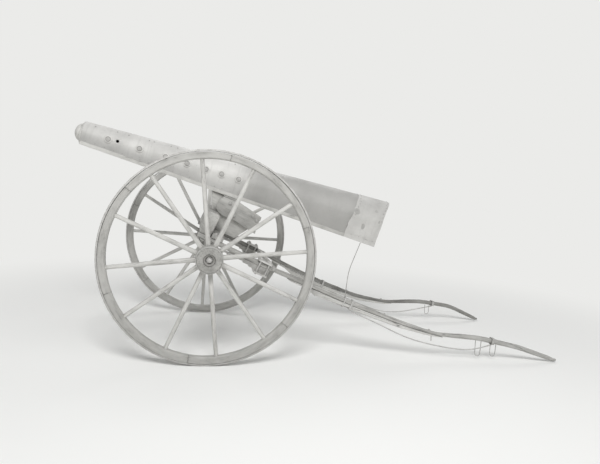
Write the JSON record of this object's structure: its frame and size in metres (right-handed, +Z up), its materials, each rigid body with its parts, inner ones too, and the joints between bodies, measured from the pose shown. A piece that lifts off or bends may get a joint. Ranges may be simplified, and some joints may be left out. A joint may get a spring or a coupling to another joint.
{
  "type": "sprung cart",
  "caption": "Light sprung cart with large spoked wheels, bent shafts resting on the ground and a long tapered tube carried on timber cheeks.",
  "frame": {"origin": "on the ground under the middle of the cart, halfway between the wheels", "axes": "+X forward to the shaft tips, +Y across to the far wheel, +Z up"},
  "size_m": [3.674, 1.566, 1.5883],
  "materials": {
    "wheel_iron": "worn",
    "wheel_wood": "weathered paint",
    "dark_iron": "oxidised",
    "tube_sheet": "dull",
    "tube_board": "dull paint",
    "shaft_wood": "bare, weathered",
    "bed_wood": "bare, weathered",
    "rope": "twisted rope"
  },
  "bodies": {
    "cart": {"axle": "dark_iron", "bolster": "bed_wood", "far_axle_clip": "dark_iron", "far_axle_nut": "dark_iron", "far_cheek": "bed_wood", "far_loop": "rope", "far_saddle": "bed_wood", "far_shaft": "shaft_wood", "far_shaft_band": "dark_iron", "far_shaft_bar": "shaft_wood", "far_side_panel": "bed_wood", "far_spring": "dark_iron", "far_spring_clip": "dark_iron", "far_spring_pad": "bed_wood", "far_trace": "rope", "far_trace_tie": "rope", "front_bar": "bed_wood", "near_axle_clip": "dark_iron", "near_axle_nut": "dark_iron", "near_cheek": "bed_wood", "near_front_loop": "rope", "near_rear_loop": "rope", "near_saddle": "bed_wood", "near_shaft": "shaft_wood", "near_shaft_band": "dark_iron", "near_shaft_bar": "shaft_wood", "near_side_panel": "bed_wood", "near_spring": "dark_iron", "near_spring_clip": "dark_iron", "near_spring_pad": "bed_wood", "near_trace": "rope", "near_trace_tie": "rope", "panel_spacer": "bed_wood", "rear_plank": "bed_wood", "tube_base_board": "tube_board", "tube_bosses": "tube_sheet", "tube_cap": "tube_board", "tube_cap_hoop": "wheel_iron", "tube_end_sheet": "tube_sheet", "tube_large_end": "tube_board", "tube_skin": "tube_sheet", "tube_small_end": "tube_board"},
    "near_wheel": {"near_felloes": "wheel_wood", "near_nave": "wheel_wood", "near_nave_hoops": "wheel_iron", "near_spokes": "wheel_wood", "near_tyre": "wheel_iron"},
    "far_wheel": {"far_felloes": "wheel_wood", "far_nave": "wheel_wood", "far_nave_hoops": "wheel_iron", "far_spokes": "wheel_wood", "far_tyre": "wheel_iron"}
  },
  "joints": [
    {"name": "near_wheel_spin", "type": "hinge", "parent": "cart", "child": "near_wheel", "pos_m": [-0.828, -0.718, 0.71], "axis": [0, 1, 0], "continuous": true},
    {"name": "far_wheel_spin", "type": "hinge", "parent": "cart", "child": "far_wheel", "pos_m": [-0.828, 0.718, 0.71], "axis": [0, 1, 0], "continuous": true}
  ]
}
